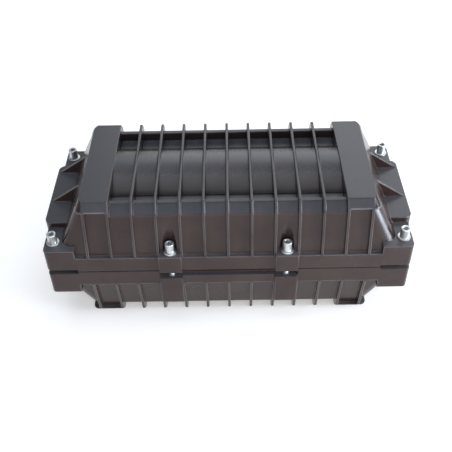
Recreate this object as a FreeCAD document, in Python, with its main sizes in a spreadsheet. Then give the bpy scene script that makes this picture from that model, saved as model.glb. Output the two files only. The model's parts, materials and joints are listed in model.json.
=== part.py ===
import FreeCAD, Part
import math
import operator
import os
from types import SimpleNamespace

import Sketcher

# Inline splice closure: two ribbed shells screwed together on a gasket, with splice trays inside.
# Lengths are millimetres. Drawings use X along the closure, Y across it and Z up from the parting
# plane, and every piece is lifted by the shell height so that the lower ribs stand on Z = 0.

SIZES = {
    # overall size of one shell
    "end_half_length": 197.0,
    "flange_half_width": 89.5,
    "hump_height": 82.5,
    "wall": 4.0,
    # hump and ribs
    "hump_end_inset": 12.0,
    "hump_end_run": 30.5,
    "hump_corner": 15.0,
    "cap_corner": 9.0,
    "shoulder_inset": 11.2,
    "shoulder_drop": 9.0,
    "crown_inset": 8.8,
    "rib_end_margin": 4.5,
    "rib_thickness": 3.0,
    "rib_height": 5.0,
    # channels and arched panel in the top of each shell
    "ridge_inset": 4.5,
    "ridge_width": 5.0,
    "ridge_drop": 6.0,
    "channel_width": 18.0,
    "channel_depth": 16.5,
    "arch_rise": 14.7,
    "arch_drop": 0.3,
    # flange and seam
    "flange_height": 20.0,
    "flange_corner": 5.0,
    "seam_gap": 1.5,
    "pry_depth": 7.5,
    "pry_inset": 6.0,
    "corner_relief": 2.2,
    # end blocks, port blocks and their gussets
    "end_block_length": 33.0,
    "corner_pad_height": 31.0,
    "port_block_proud": 3.5,
    "port_block_margin": 26.0,
    "port_block_height": 38.0,
    "port_block_corner": 8.0,
    "gusset_thickness": 2.5,
    "gusset_top": 60.5,
    "gusset_back": 38.0,
    "gusset_front": 14.0,
    # cable ports, end seals and cavity
    "port_spacing": 50.0,
    "port_radius": 13.0,
    "cable_radius": 10.0,
    "port_wall": 8.5,
    "seal_length": 26.0,
    "seal_margin": 21.0,
    "seal_half_height": 29.0,
    "seal_lip": 6.0,
    "seal_clearance": 0.3,
    "seal_collar_proud": 1.0,
    "seal_backing": 8.0,
    "cavity_inset": 6.5,
    "cavity_corner": 12.0,
    # gasket
    "gasket_inset": 11.5,
    "gasket_end_inset": 19.5,
    "gasket_bend": 10.0,
    "gasket_width": 4.0,
    "groove_depth": 3.2,
    "groove_clearance": 0.2,
    # closing screws with captive washers, and their inserts
    "corner_bolt_end_inset": 9.0,
    "corner_bolt_inset": 14.5,
    "side_bolt_inset": 4.5,
    "side_boss_proud": 4.5,
    "side_pad_height": 24.0,
    "side_boss_foot": 46.0,
    "driver_radius": 8.0,
    "driver_height": 60.0,
    "screw_radius": 3.0,
    "screw_hole_radius": 3.3,
    "head_radius": 5.0,
    "head_height": 11.5,
    "socket_radius": 2.9,
    "socket_depth": 5.0,
    "corner_screw_length": 44.0,
    "side_screw_length": 39.0,
    "washer_radius": 7.0,
    "washer_thickness": 1.6,
    "insert_radius": 5.2,
    "insert_length": 12.0,
    "insert_clearance": 0.05,
    "thread_clearance": 0.08,
    # tray bracket
    "bracket_thickness": 2.0,
    "bracket_half_width": 57.0,
    "bracket_level": 36.0,
    "bracket_end_gap": 6.0,
    "shelf_length": 42.0,
    "shelf_level": 11.5,
    "post_inset": 7.0,
    "post_half_width": 5.5,
    "small_screw_radius": 2.0,
    "small_screw_clearance": 0.05,
    "small_head_radius": 3.8,
    "small_head_height": 2.4,
    "bracket_screw_length": 14.0,
    "tray_screw_length": 8.0,
    "clamp_screw_length": 7.0,
    # splice trays, holders, lid and hinge
    "tray_end_gap": 18.0,
    "tray_side_gap": 2.0,
    "tray_corner": 18.0,
    "tray_height": 14.0,
    "tray_wall": 2.0,
    "tray_gap": 0.3,
    "guide_inset": 37.0,
    "guide_radius": 26.0,
    "guide_height": 9.0,
    "tube_slot_y": 15.0,
    "tube_slot_half_width": 6.0,
    "tube_slot_depth": 8.0,
    "tab_x": 42.0,
    "tab_half_length": 7.0,
    "tab_reach": 8.0,
    "tab_thickness": 1.5,
    "tray_screw_inset": 11.0,
    "tray_screw_y": 32.0,
    "holder_half_length": 26.0,
    "holder_base": 1.5,
    "fin_count": 9.0,
    "fin_pitch": 5.0,
    "fin_thickness": 1.6,
    "fin_height": 8.0,
    "lid_thickness": 1.5,
    "thumb_radius": 9.0,
    "hinge_offset": 6.0,
    "knuckle_radius": 4.5,
    "knuckle_width": 9.0,
    "knuckle_y": 32.0,
    "knuckle_side_gap": 0.4,
    "hinge_pin_radius": 1.5,
    "hinge_pin_clearance": 0.05,
    "hinge_pin_overhang": 1.0,
    # cable clamps and strength member plates
    "clamp_end_inset": 12.0,
    "clamp_half_length": 8.0,
    "clamp_room": 1.0,
    "clamp_thickness": 1.5,
    "clamp_foot": 9.5,
    "plate_end_inset": 30.0,
    "plate_half_length": 5.0,
    "plate_half_width": 12.0,
    "plate_thickness": 3.0,
}


class Size:
    """A length that knows its number and the sheet expression that gives it."""

    def __init__(self, value, text):
        self.value = float(value)
        self.text = text

    def combined(self, other, sign, rule):
        other = as_size(other)
        return Size(rule(self.value, other.value), f"({self.text} {sign} {other.text})")

    def __add__(self, other):
        return self.combined(other, "+", operator.add)

    def __radd__(self, other):
        return as_size(other) + self

    def __sub__(self, other):
        return self.combined(other, "-", operator.sub)

    def __rsub__(self, other):
        return as_size(other) - self

    def __mul__(self, other):
        return self.combined(other, "*", operator.mul)

    def __rmul__(self, other):
        return as_size(other) * self

    def __truediv__(self, other):
        return self.combined(other, "/", operator.truediv)

    def __neg__(self):
        return as_size(-1) * self


def as_size(number):
    """A Size from a plain number, or the Size itself."""
    if isinstance(number, Size):
        return number
    return Size(number, f"({number:g})")


def root(size):
    """The square root of a Size."""
    return Size(math.sqrt(size.value), f"sqrt({size.text})")


# Document, sheet and the list of finished pieces
doc = FreeCAD.newDocument("inline_splice_closure")
sheet = doc.addObject("Spreadsheet::Sheet", "Sizes")
for row, (alias, number) in enumerate(SIZES.items(), start=1):
    sheet.set(f"A{row}", str(number))
    sheet.setAlias(f"A{row}", alias)
doc.recompute()
s = SimpleNamespace(**{alias: Size(number, f"Sizes.{alias}") for alias, number in SIZES.items()})
pieces = []


def plane_of(body, role):
    """One of the body's own origin planes or axes."""
    return next(feature for feature in body.Origin.OriginFeatures if feature.Role == role)


def new_body(label, piece=True):
    """A body lifted so that the parting plane lies at the shell height."""
    body = doc.addObject("PartDesign::Body", label)
    if piece:
        place(body, z=s.hump_height)
        pieces.append(body)
    return body


def place(item, x=0, y=0, z=0):
    """Bind an object's place to Sizes."""
    for axis, size in zip("xyz", (x, y, z)):
        item.setExpression(f"Placement.Base.{axis}", as_size(size).text)


def draw(body, name, plane, offset=0):
    """A new sketch on an origin plane, moved along that plane's normal."""
    drawing = body.newObject("Sketcher::SketchObject", f"{body.Name}_{name}")
    drawing.AttachmentSupport = [(plane_of(body, plane), "")]
    drawing.MapMode = "FlatFace"
    drawing.setExpression("AttachmentOffset.Base.z", as_size(offset).text)
    return drawing


def hold(drawing, rules):
    """Add constraints in one step; each rule is a constraint and the Size that drives it, or None."""
    numbers = drawing.addConstraint([constraint for constraint, _ in rules])
    for number, (_, size) in zip(numbers, rules):
        if size is not None:
            drawing.setExpression(f"Constraints[{number}]", size.text)


def distance(kind, geometry, end, size):
    """A rule that holds a point of the geometry at a distance from the sketch origin."""
    size = as_size(size)
    return Sketcher.Constraint(kind, -1, 1, geometry, end, size.value), size


def at_point(geometry, end, point):
    """Rules that hold a point of the geometry at a place."""
    return [distance("DistanceX", geometry, end, point[0]), distance("DistanceY", geometry, end, point[1])]


def vector(point):
    """The numbers of a point as a vector in the sketch."""
    return FreeCAD.Vector(as_size(point[0]).value, as_size(point[1]).value, 0)


def outline(drawing, corners, arcs=None):
    """Draw a closed outline; arcs maps a side's number to its (centre, turn), turn 1 being left."""
    arcs = arcs or {}
    sides = []
    for number, corner in enumerate(corners):
        start = vector(corner)
        end = vector(corners[(number + 1) % len(corners)])
        if number in arcs:
            sides.append(add_arc(drawing, start, end, *arcs[number]))
        else:
            sides.append((drawing.addGeometry(Part.LineSegment(start, end), False), 1, 2))
    rules = []
    for number, (side, first, last) in enumerate(sides):
        following, following_first, _ = sides[(number + 1) % len(sides)]
        rules.append((Sketcher.Constraint("Coincident", side, last, following, following_first), None))
        rules += at_point(side, first, corners[number])
    for number, (centre, _) in arcs.items():
        following = corners[(number + 1) % len(corners)]
        rules.append(centre_rule(sides[number][0], centre, corners[number], following))
    hold(drawing, rules)


def add_arc(drawing, start, end, centre, turn):
    """Add an arc about the centre and return its number with its first and last point."""
    middle = vector(centre)
    circle = Part.Circle(middle, FreeCAD.Vector(0, 0, 1), (start - middle).Length)
    angles = [math.atan2((point - middle).y, (point - middle).x) for point in (start, end)]
    if turn < 0:
        angles.reverse()
    arc = drawing.addGeometry(Part.ArcOfCircle(circle, *angles), False)
    return (arc, 1, 2) if turn > 0 else (arc, 2, 1)


def centre_rule(arc, centre, start, end):
    """A rule that holds an arc's centre along the line on which its two ends leave it free."""
    chord = vector(end) - vector(start)
    if abs(chord.x) >= abs(chord.y):
        return distance("DistanceY", arc, 3, centre[1])
    return distance("DistanceX", arc, 3, centre[0])


def rectangle(drawing, low, high):
    """Draw a plain rectangle between two corners."""
    outline(drawing, [low, (high[0], low[1]), high, (low[0], high[1])])


def rounded_rectangle(drawing, half_x, half_y, radius):
    """Draw a rectangle about the origin with round corners."""
    near_x = half_x - radius
    near_y = half_y - radius
    corners = [
        (-near_x, -half_y), (near_x, -half_y), (half_x, -near_y), (half_x, near_y),
        (near_x, half_y), (-near_x, half_y), (-half_x, near_y), (-half_x, -near_y),
    ]
    centres = [(near_x, -near_y), (near_x, near_y), (-near_x, near_y), (-near_x, -near_y)]
    outline(drawing, corners, {2 * number + 1: (centre, 1) for number, centre in enumerate(centres)})


def circle(drawing, centre, radius):
    """Draw a circle."""
    radius = as_size(radius)
    ring = drawing.addGeometry(Part.Circle(vector(centre), FreeCAD.Vector(0, 0, 1), radius.value), False)
    hold(drawing, at_point(ring, 3, centre) + [(Sketcher.Constraint("Radius", ring, radius.value), radius)])


def in_order(*sizes):
    """The sizes from the smallest to the largest."""
    return sorted(sizes, key=lambda size: size.value)


def four_ways(x, y):
    """The four places of a point mirrored in both axes."""
    return [(x, y), (-x, y), (x, -y), (-x, -y)]


def extrude(body, kind, drawing, length, towards=1, both_ways=False):
    """A Pad or Pocket of the drawing, towards its plane's normal (1) or away from it (-1)."""
    feature = body.newObject(f"PartDesign::{kind}", f"{drawing.Name}_{kind}")
    feature.Profile = drawing
    feature.setExpression("Length", as_size(length).text)
    feature.Reversed = (towards < 0) == (kind == "Pad")
    if both_ways:
        feature.SideType = "Symmetric"
    return feature


def pattern(body, feature, axis, length, count):
    """Repeat a feature along one of the body's axes."""
    row_of = body.newObject("PartDesign::LinearPattern", f"{feature.Name}_row")
    row_of.Originals = [feature]
    row_of.Direction = (plane_of(body, axis), [""])
    row_of.setExpression("Length", length.text)
    row_of.setExpression("Occurrences", as_size(count).text)
    body.Tip = row_of
    return row_of


def group(label, master, places):
    """One piece made of the master's copies, each a solid of its own."""
    copies = []
    for number, (x, y, z) in enumerate(places):
        copy = doc.addObject("App::Link", f"{label}_{number}")
        copy.LinkedObject = master
        place(copy, x, y, z)
        copies.append(copy)
    compound = doc.addObject("Part::Compound", label)
    compound.Links = copies
    place(compound, z=s.hump_height)
    pieces.append(compound)


# Lengths and widths that follow from the sheet, from the ends and the flange inwards
RIB_STEPS = 6
s.hump_base_half_length = s.end_half_length - s.hump_end_inset
s.hump_top_half_length = s.hump_base_half_length - s.hump_end_run
s.rib_pitch = (s.hump_top_half_length - s.rib_end_margin) / RIB_STEPS
s.shoulder_half_width = s.flange_half_width - s.shoulder_inset
s.crown_half_width = s.shoulder_half_width - s.crown_inset
s.ridge_half_width = s.crown_half_width - s.ridge_inset
s.channel_half_width = s.ridge_half_width - s.ridge_width
s.arch_half_width = s.channel_half_width - s.channel_width
s.end_block_start = s.end_half_length - s.end_block_length
s.port_block_half_length = s.end_half_length + s.port_block_proud
s.port_block_half_width = s.port_spacing / 2 + s.port_block_margin
s.seal_end = s.port_block_half_length - s.port_wall
s.seal_start = s.seal_end - s.seal_length
s.seal_half_width = s.port_spacing / 2 + s.seal_margin
s.gasket_half_length = s.end_half_length - s.gasket_end_inset
s.gasket_half_width = s.flange_half_width - s.gasket_inset
s.cavity_half_length = s.seal_start - s.seal_backing
s.cavity_half_width = s.gasket_half_width - s.cavity_inset
s.corner_bolt_x = s.end_half_length - s.corner_bolt_end_inset
s.corner_bolt_y = s.flange_half_width - s.corner_bolt_inset
s.side_bolt_y = s.flange_half_width - s.side_bolt_inset
s.side_boss_half_width = s.flange_half_width + s.side_boss_proud
s.bracket_half_length = s.cavity_half_length - s.bracket_end_gap
s.bracket_riser = s.bracket_half_length - s.shelf_length
s.post_x = s.bracket_riser - s.post_inset
s.post_y = s.bracket_half_width - s.post_inset
s.tray_half_length = s.bracket_riser - s.tray_end_gap
s.tray_half_width = s.bracket_half_width - s.tray_side_gap
s.guide_x = s.tray_half_length - s.guide_inset
s.tray_screw_x = s.tray_half_length - s.tray_screw_inset
s.clamp_x = s.bracket_half_length - s.clamp_end_inset
s.clamp_inner_radius = s.cable_radius + s.clamp_room
s.plate_x = s.bracket_half_length - s.plate_end_inset

# Levels and places shared by several pieces
half_gap = s.seam_gap / 2
shoulder_level = s.hump_height - s.shoulder_drop
ridge_level = s.hump_height - s.ridge_drop
channel_level = s.hump_height - s.channel_depth
roof_level = channel_level - s.wall
arch_crest = s.hump_height - s.arch_drop
arch_radius = (s.arch_half_width * s.arch_half_width + s.arch_rise * s.arch_rise) / (2 * s.arch_rise)
arch_centre = arch_crest - arch_radius
arch_edge = arch_crest - s.arch_rise
channelled_half = (RIB_STEPS - 1) * s.rib_pitch
side_bolt_x = 2.5 * s.rib_pitch
relief_level = half_gap + s.corner_relief
pry_level = half_gap + s.pry_depth
port_y = s.port_spacing / 2
bracket_top = -s.bracket_level
bracket_under = bracket_top - s.bracket_thickness
shelf_top = -s.shelf_level
lower_tray_level = bracket_top
lower_rim = lower_tray_level + s.tray_height
upper_tray_level = lower_rim + s.tray_gap
upper_rim = upper_tray_level + s.tray_height
hinge_x = -(s.tray_half_length + s.hinge_offset)
hinge_level = lower_rim + s.tray_gap / 2
corner_places = four_ways(s.corner_bolt_x, s.corner_bolt_y)
side_places = four_ways(side_bolt_x, s.side_bolt_y)
small_hole_radius = s.small_screw_radius + s.small_screw_clearance
clamp_screw_reach = s.clamp_inner_radius + s.clamp_thickness + s.clamp_foot / 2


def hump_half_length(level):
    """Half the hump's length at a level of its sloping end walls."""
    slope = (s.hump_base_half_length - s.hump_top_half_length) / (s.hump_height - s.flange_height)
    return s.hump_top_half_length + (s.hump_height - level) * slope


def core_half_width(level):
    """Half the width of the hump between the ribs at a level."""
    slope = (s.flange_half_width - s.shoulder_half_width) / (shoulder_level - s.flange_height)
    return s.shoulder_half_width - s.rib_height + (shoulder_level - level) * slope


def make_shell(label, side, add_details):
    """One shell, its solid shape less its hollows; side is 1 for the upper and -1 for the lower."""
    solid = new_body(f"{label}_solid", piece=False)
    add_hump(solid, side)
    cut_channels(solid, side)
    add_flange(solid, side)
    add_gussets(solid, side)
    add_ribs(solid, side)
    hollow = new_body(f"{label}_hollow", piece=False)
    add_cavity(hollow, side)
    add_ports(hollow, side)
    add_details(hollow)
    shell = doc.addObject("Part::Cut", label)
    shell.Base = solid
    shell.Tool = hollow
    shell.Refine = True
    place(shell, z=s.hump_height)
    pieces.append(shell)


def pad_up(body, side, name, height, shape):
    """Pad a plan outline from the seam face to a height."""
    drawing = draw(body, name, "XY_Plane", side * half_gap)
    shape(drawing)
    return extrude(body, "Pad", drawing, height - half_gap, side)


def add_flange(body, side):
    """The flange, the end blocks with their corner pads, the port blocks and the side bosses."""
    def flange(drawing):
        rounded_rectangle(drawing, s.end_half_length, s.flange_half_width, s.flange_corner)

    def end_blocks(drawing):
        far = s.end_half_length - s.flange_corner
        wide = s.flange_half_width - s.flange_corner
        for end in (1, -1):
            corners = [
                (end * s.end_block_start, -end * s.flange_half_width),
                (end * far, -end * s.flange_half_width),
                (end * s.end_half_length, -end * wide), (end * s.end_half_length, end * wide),
                (end * far, end * s.flange_half_width), (end * s.end_block_start, end * s.flange_half_width),
            ]
            outline(drawing, corners, {1: ((end * far, -end * wide), 1), 3: ((end * far, end * wide), 1)})

    def port_blocks(drawing):
        far = s.port_block_half_length - s.port_block_corner
        wide = s.port_block_half_width - s.port_block_corner
        for end in (1, -1):
            corners = [
                (end * s.cavity_half_length, -end * s.port_block_half_width),
                (end * far, -end * s.port_block_half_width),
                (end * s.port_block_half_length, -end * wide), (end * s.port_block_half_length, end * wide),
                (end * far, end * s.port_block_half_width),
                (end * s.cavity_half_length, end * s.port_block_half_width),
            ]
            outline(drawing, corners, {1: ((end * far, -end * wide), 1), 3: ((end * far, end * wide), 1)})

    def side_bosses(drawing):
        reach = s.rib_pitch / 2
        for x in (side_bolt_x, -side_bolt_x):
            for y in (1, -1):
                edges = in_order(y * s.cavity_half_width, y * s.side_boss_half_width)
                rectangle(drawing, (x - reach, edges[0]), (x + reach, edges[1]))

    pad_up(body, side, "flange", s.flange_height, flange)
    pad_up(body, side, "end_blocks", s.corner_pad_height, end_blocks)
    pad_up(body, side, "port_blocks", s.port_block_height, port_blocks)
    boss_height = s.side_pad_height if side > 0 else s.side_boss_foot
    pad_up(body, side, "side_bosses", boss_height, side_bosses)


def add_hump(body, side):
    """The hump and its cap: one profile along the closure, sloped at the ends and round at the corners."""
    foot = s.flange_height - s.wall
    below = foot - s.wall
    above = s.hump_height + s.wall
    half = [
        (core_half_width(foot), foot), (core_half_width(shoulder_level), shoulder_level),
        (s.shoulder_half_width, shoulder_level), (s.crown_half_width, s.hump_height),
    ]
    drawing = draw(body, "hump", "YZ_Plane")
    outline(drawing, [(y, side * z) for y, z in half + [(-y, z) for y, z in reversed(half)]])
    far = hump_half_length(below) + s.wall
    extrude(body, "Pad", drawing, 2 * far, both_ways=True)
    drawing = draw(body, "end_slopes", "XZ_Plane")
    for end in (1, -1):
        corners = [
            (hump_half_length(below), below), (far + s.wall, below),
            (far + s.wall, above), (hump_half_length(above), above),
        ]
        outline(drawing, [(end * x, side * z) for x, z in corners])
    slopes = extrude(body, "Pocket", drawing, 2 * s.flange_half_width, both_ways=True)
    core = round_corners(body, "core_corners", slopes, s.hump_corner, 0, shoulder_level)
    round_corners(body, "cap_corners", core, s.cap_corner, shoulder_level, s.hump_height)


def round_corners(body, name, base, radius, low, high):
    """Round the edges between two levels that run along none of the axes or their planes."""
    doc.recompute()
    edges = []
    for number, edge in enumerate(base.Shape.Edges, start=1):
        run = edge.Vertexes[-1].Point - edge.Vertexes[0].Point
        slanting = min(abs(run.x), abs(run.y), abs(run.z)) > radius.value / 10
        if slanting and as_size(low).value < abs(edge.CenterOfMass.z) < high.value:
            edges.append(f"Edge{number}")
    fillet = body.newObject("PartDesign::Fillet", f"{body.Name}_{name}")
    fillet.Base = (base, edges)
    fillet.setExpression("Radius", radius.text)
    return fillet


def cut_channels(body, side):
    """The ridges, channels and arched panel cut into the cap between its ends."""
    outside = s.side_boss_half_width
    above = s.hump_height + s.wall
    shoulder_foot = ridge_level - (outside - s.ridge_half_width)
    right = [
        (s.channel_half_width, channel_level), (s.channel_half_width, ridge_level),
        (s.ridge_half_width, ridge_level), (outside, shoulder_foot), (outside, above),
    ]
    left = [(-y, z) for y, z in reversed(right)]
    arch = [
        (-s.arch_half_width, channel_level), (-s.arch_half_width, arch_edge),
        (s.arch_half_width, arch_edge), (s.arch_half_width, channel_level),
    ]
    profile = [(y, side * z) for y, z in right + left + arch]
    arch_side = len(right) + len(left) + 1
    drawing = draw(body, "channels", "YZ_Plane")
    outline(drawing, profile, {arch_side: ((0, side * arch_centre), -side)})
    extrude(body, "Pocket", drawing, 2 * channelled_half, both_ways=True)


def add_ribs(body, side):
    """The row of ribs, each a plate with the outline of the shell's envelope."""
    foot = s.flange_height - s.wall
    drawing = draw(body, "rib", "YZ_Plane", -RIB_STEPS * s.rib_pitch)
    half = [
        (s.flange_half_width, foot), (s.flange_half_width, s.flange_height),
        (s.shoulder_half_width, shoulder_level), (s.crown_half_width, s.hump_height),
    ]
    outline(drawing, [(y, side * z) for y, z in half + [(-y, z) for y, z in reversed(half)]])
    rib = extrude(body, "Pad", drawing, s.rib_thickness, both_ways=True)
    pattern(body, rib, "X_Axis", 2 * RIB_STEPS * s.rib_pitch, 2 * RIB_STEPS + 1)


def add_gussets(body, side):
    """The thin gussets from the hump's end walls to the rim of the port blocks."""
    foot = s.port_block_height - s.wall
    rim = s.port_block_height + s.arch_drop
    inner = s.cavity_half_length
    tip = s.port_block_half_length - s.gusset_thickness
    for name, y in (("back", s.gusset_back), ("front", -s.gusset_front)):
        drawing = draw(body, f"gusset_{name}", "XZ_Plane", -y)
        for end in (1, -1):
            corners = [
                (inner, foot), (tip, foot), (tip, rim),
                (hump_half_length(s.gusset_top), s.gusset_top), (inner, s.gusset_top),
            ]
            outline(drawing, [(end * x, side * z) for x, z in corners])
        extrude(body, "Pad", drawing, s.gusset_thickness, both_ways=True)


def add_cavity(body, side):
    """The cavity, its vault under the arched panel and its deeper ends under the cap."""
    drawing = draw(body, "cavity", "XY_Plane")
    rounded_rectangle(drawing, s.cavity_half_length, s.cavity_half_width, s.cavity_corner)
    extrude(body, "Pad", drawing, roof_level, side)
    vault_radius = arch_radius - s.wall
    spring = roof_level - arch_centre
    vault_half = root(vault_radius * vault_radius - spring * spring)
    start = roof_level - s.wall
    corners = [(-vault_half, start), (vault_half, start), (vault_half, roof_level), (-vault_half, roof_level)]
    drawing = draw(body, "vault", "YZ_Plane")
    outline(drawing, [(y, side * z) for y, z in corners], {2: ((0, side * arch_centre), side)})
    vault_end = channelled_half - s.rib_thickness / 2 - s.wall
    extrude(body, "Pad", drawing, 2 * vault_end, both_ways=True)
    ceiling = s.hump_height - s.wall
    drawing = draw(body, "cap_ends", "XY_Plane", side * start)
    for end in (1, -1):
        edges = in_order(end * (channelled_half + s.wall), end * (hump_half_length(ceiling) - 1.5 * s.wall))
        reach = s.crown_half_width - s.wall
        rectangle(drawing, (edges[0], -reach), (edges[1], reach))
    extrude(body, "Pad", drawing, ceiling - start, side)


def add_ports(body, side):
    """The cable ports, the seal pockets with windows to the cavity and the gap round the corner screws."""
    drawing = draw(body, "ports", "YZ_Plane")
    for y in (port_y, -port_y):
        circle(drawing, (y, 0), s.port_radius)
    extrude(body, "Pad", drawing, 2 * (s.port_block_half_length + s.wall), both_ways=True)
    drawing = draw(body, "seal_pockets", "XY_Plane")
    for low, high in ((s.seal_start, s.seal_end), (-s.seal_end, -s.seal_start)):
        rectangle(drawing, (low, -s.seal_half_width), (high, s.seal_half_width))
    extrude(body, "Pad", drawing, s.seal_half_height, side)
    drawing = draw(body, "seal_windows", "YZ_Plane")
    window = s.seal_half_width - s.seal_lip
    levels = in_order(as_size(0), side * (s.seal_half_height - s.seal_lip))
    rectangle(drawing, (-window, levels[0]), (window, levels[1]))
    extrude(body, "Pad", drawing, 2 * (s.seal_start + s.wall), both_ways=True)
    inner_x = s.gasket_half_length + s.gasket_width
    inner_y = s.gasket_half_width + s.gasket_width
    outer_x = s.end_half_length + s.wall
    outer_y = s.flange_half_width + s.wall
    drawing = draw(body, "corner_relief", "XY_Plane")
    for x, y in four_ways(1, 1):
        corners = [
            (s.end_block_start, inner_y), (inner_x - s.gasket_bend, inner_y),
            (inner_x, inner_y - s.gasket_bend), (inner_x, s.port_block_half_width),
            (outer_x, s.port_block_half_width), (outer_x, outer_y), (s.end_block_start, outer_y),
        ]
        outline(drawing, [(x * px, y * py) for px, py in corners])
    extrude(body, "Pad", drawing, relief_level, side)


def add_screw_holes(body):
    """Clearance holes for the closing screws and room for the driver beside the wall."""
    drawing = draw(body, "screw_holes", "XY_Plane")
    for point in corner_places + side_places:
        circle(drawing, point, s.screw_hole_radius)
    extrude(body, "Pad", drawing, s.corner_pad_height + s.wall)
    drawing = draw(body, "driver_room", "XY_Plane", s.side_pad_height)
    for point in side_places:
        circle(drawing, point, s.driver_radius)
    extrude(body, "Pad", drawing, s.driver_height - s.side_pad_height)


def gasket_outline(drawing, side, width):
    """The plan of one gasket strand: along the flange, round two bends and up to the end seals."""
    x_out = s.gasket_half_length + width / 2
    x_in = s.gasket_half_length - width / 2
    y_out = s.gasket_half_width + width / 2
    y_in = s.gasket_half_width - width / 2
    bend_x = s.gasket_half_length - s.gasket_bend
    bend_y = s.gasket_half_width - s.gasket_bend
    end_y = s.seal_half_width
    corners = [
        (-x_out, end_y), (-x_out, bend_y), (-bend_x, y_out), (bend_x, y_out), (x_out, bend_y), (x_out, end_y),
        (x_in, end_y), (x_in, bend_y), (bend_x, y_in), (-bend_x, y_in), (-x_in, bend_y), (-x_in, end_y),
    ]
    left = (-bend_x, side * bend_y)
    right = (bend_x, side * bend_y)
    arcs = {1: (left, -side), 3: (right, -side), 7: (right, side), 9: (left, side)}
    outline(drawing, [(x, side * y) for x, y in corners], arcs)


def add_lower_hollows(body):
    """Bracket posts left standing in the cavity, gasket grooves, levering slots and insert holes."""
    posts = four_ways(s.post_x, s.post_y)
    drawing = draw(body, "posts", "XY_Plane", bracket_under)
    for x, y in posts:
        rectangle(drawing, (x - s.post_half_width, y - s.post_half_width),
                  (x + s.post_half_width, y + s.post_half_width))
    extrude(body, "Pocket", drawing, roof_level + bracket_under + s.wall, -1)
    drawing = draw(body, "post_holes", "XY_Plane", bracket_under)
    for point in posts:
        hexagon(drawing, point, small_hole_radius)
    extrude(body, "Pad", drawing, s.bracket_screw_length, -1)
    drawing = draw(body, "groove", "XY_Plane", -half_gap)
    for side in (1, -1):
        gasket_outline(drawing, side, s.gasket_width + 2 * s.groove_clearance)
    extrude(body, "Pad", drawing, s.groove_depth, -1)
    reach = side_bolt_x + s.rib_pitch / 2
    drawing = draw(body, "levering_slots", "XY_Plane")
    slot_in = s.flange_half_width - s.pry_inset
    slot_out = s.side_boss_half_width + s.wall
    rectangle(drawing, (-reach, slot_in), (reach, slot_out))
    rectangle(drawing, (-reach, -slot_out), (reach, -slot_in))
    extrude(body, "Pad", drawing, pry_level, -1)
    for name, points, level in (("corner", corner_places, relief_level), ("side", side_places, pry_level)):
        drawing = draw(body, f"{name}_insert_holes", "XY_Plane")
        for point in points:
            hexagon(drawing, point, s.insert_radius + s.insert_clearance)
        extrude(body, "Pad", drawing, level + s.insert_length, -1)


def make_gasket(label, side):
    """One rubber strand, standing proud of its groove to carry the upper shell."""
    body = new_body(label)
    drawing = draw(body, "plan", "XY_Plane", -half_gap - s.groove_depth)
    gasket_outline(drawing, side, s.gasket_width)
    extrude(body, "Pad", drawing, s.groove_depth + s.seam_gap)


def make_end_seal(label, end):
    """A rubber block with two cable bores, and collars that line the ports."""
    body = new_body(label)
    drawing = draw(body, "block", "YZ_Plane", end * (s.seal_start + s.seal_clearance))
    half_width = s.seal_half_width - s.seal_clearance
    half_height = s.seal_half_height - s.seal_clearance
    rectangle(drawing, (-half_width, -half_height), (half_width, half_height))
    extrude(body, "Pad", drawing, s.seal_length - 2 * s.seal_clearance, end)
    collar_start = s.seal_end - s.wall
    collar_end = s.port_block_half_length + s.seal_collar_proud
    drawing = draw(body, "collars", "YZ_Plane", end * collar_start)
    for y in (port_y, -port_y):
        circle(drawing, (y, 0), s.port_radius - s.seal_clearance)
    extrude(body, "Pad", drawing, collar_end - collar_start, end)
    drawing = draw(body, "bores", "YZ_Plane")
    for y in (port_y, -port_y):
        circle(drawing, (y, 0), s.cable_radius)
    extrude(body, "Pocket", drawing, collar_end + s.wall, end)


def make_cap_screw(name, length):
    """A hexagon socket cap screw with a captive washer, whose seat is at the origin."""
    body = new_body(name, piece=False)
    drawing = draw(body, "profile", "XZ_Plane")
    top = s.washer_thickness + s.head_height
    outline(drawing, [
        (0, -length), (s.screw_radius, -length), (s.screw_radius, 0), (s.washer_radius, 0),
        (s.washer_radius, s.washer_thickness), (s.head_radius, s.washer_thickness),
        (s.head_radius, top), (0, top),
    ])
    turned = body.newObject("PartDesign::Revolution", f"{name}_turned")
    turned.Profile = drawing
    turned.ReferenceAxis = (plane_of(body, "Z_Axis"), [""])
    drawing = draw(body, "socket", "XY_Plane", top)
    hexagon(drawing, (0, 0), s.socket_radius)
    extrude(body, "Pocket", drawing, s.socket_depth, -1)
    return body


def hexagon(drawing, centre, radius):
    """Draw a hexagon with two corners on the line through its centre along X."""
    x, y = centre
    half = radius / 2
    rise = radius * root(as_size(3)) / 2
    outline(drawing, [
        (x + radius, y), (x + half, y + rise), (x - half, y + rise),
        (x - radius, y), (x - half, y - rise), (x + half, y - rise),
    ])


def make_insert(name):
    """A threaded insert, hexagonal outside so that it cannot turn in its pocket."""
    body = new_body(name, piece=False)
    drawing = draw(body, "section", "XY_Plane")
    hexagon(drawing, (0, 0), s.insert_radius)
    circle(drawing, (0, 0), s.screw_radius + s.thread_clearance)
    extrude(body, "Pad", drawing, s.insert_length)
    return body


def make_small_screw(name, length):
    """A small hexagon head screw with its head's seat at the origin, its shank drawn six-sided too."""
    body = new_body(name, piece=False)
    drawing = draw(body, "head", "XY_Plane")
    hexagon(drawing, (0, 0), s.small_head_radius)
    extrude(body, "Pad", drawing, s.small_head_height)
    drawing = draw(body, "shank", "XY_Plane", s.small_head_height / 2)
    hexagon(drawing, (0, 0), s.small_screw_radius)
    extrude(body, "Pad", drawing, length + s.small_head_height / 2, -1)
    return body


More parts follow.
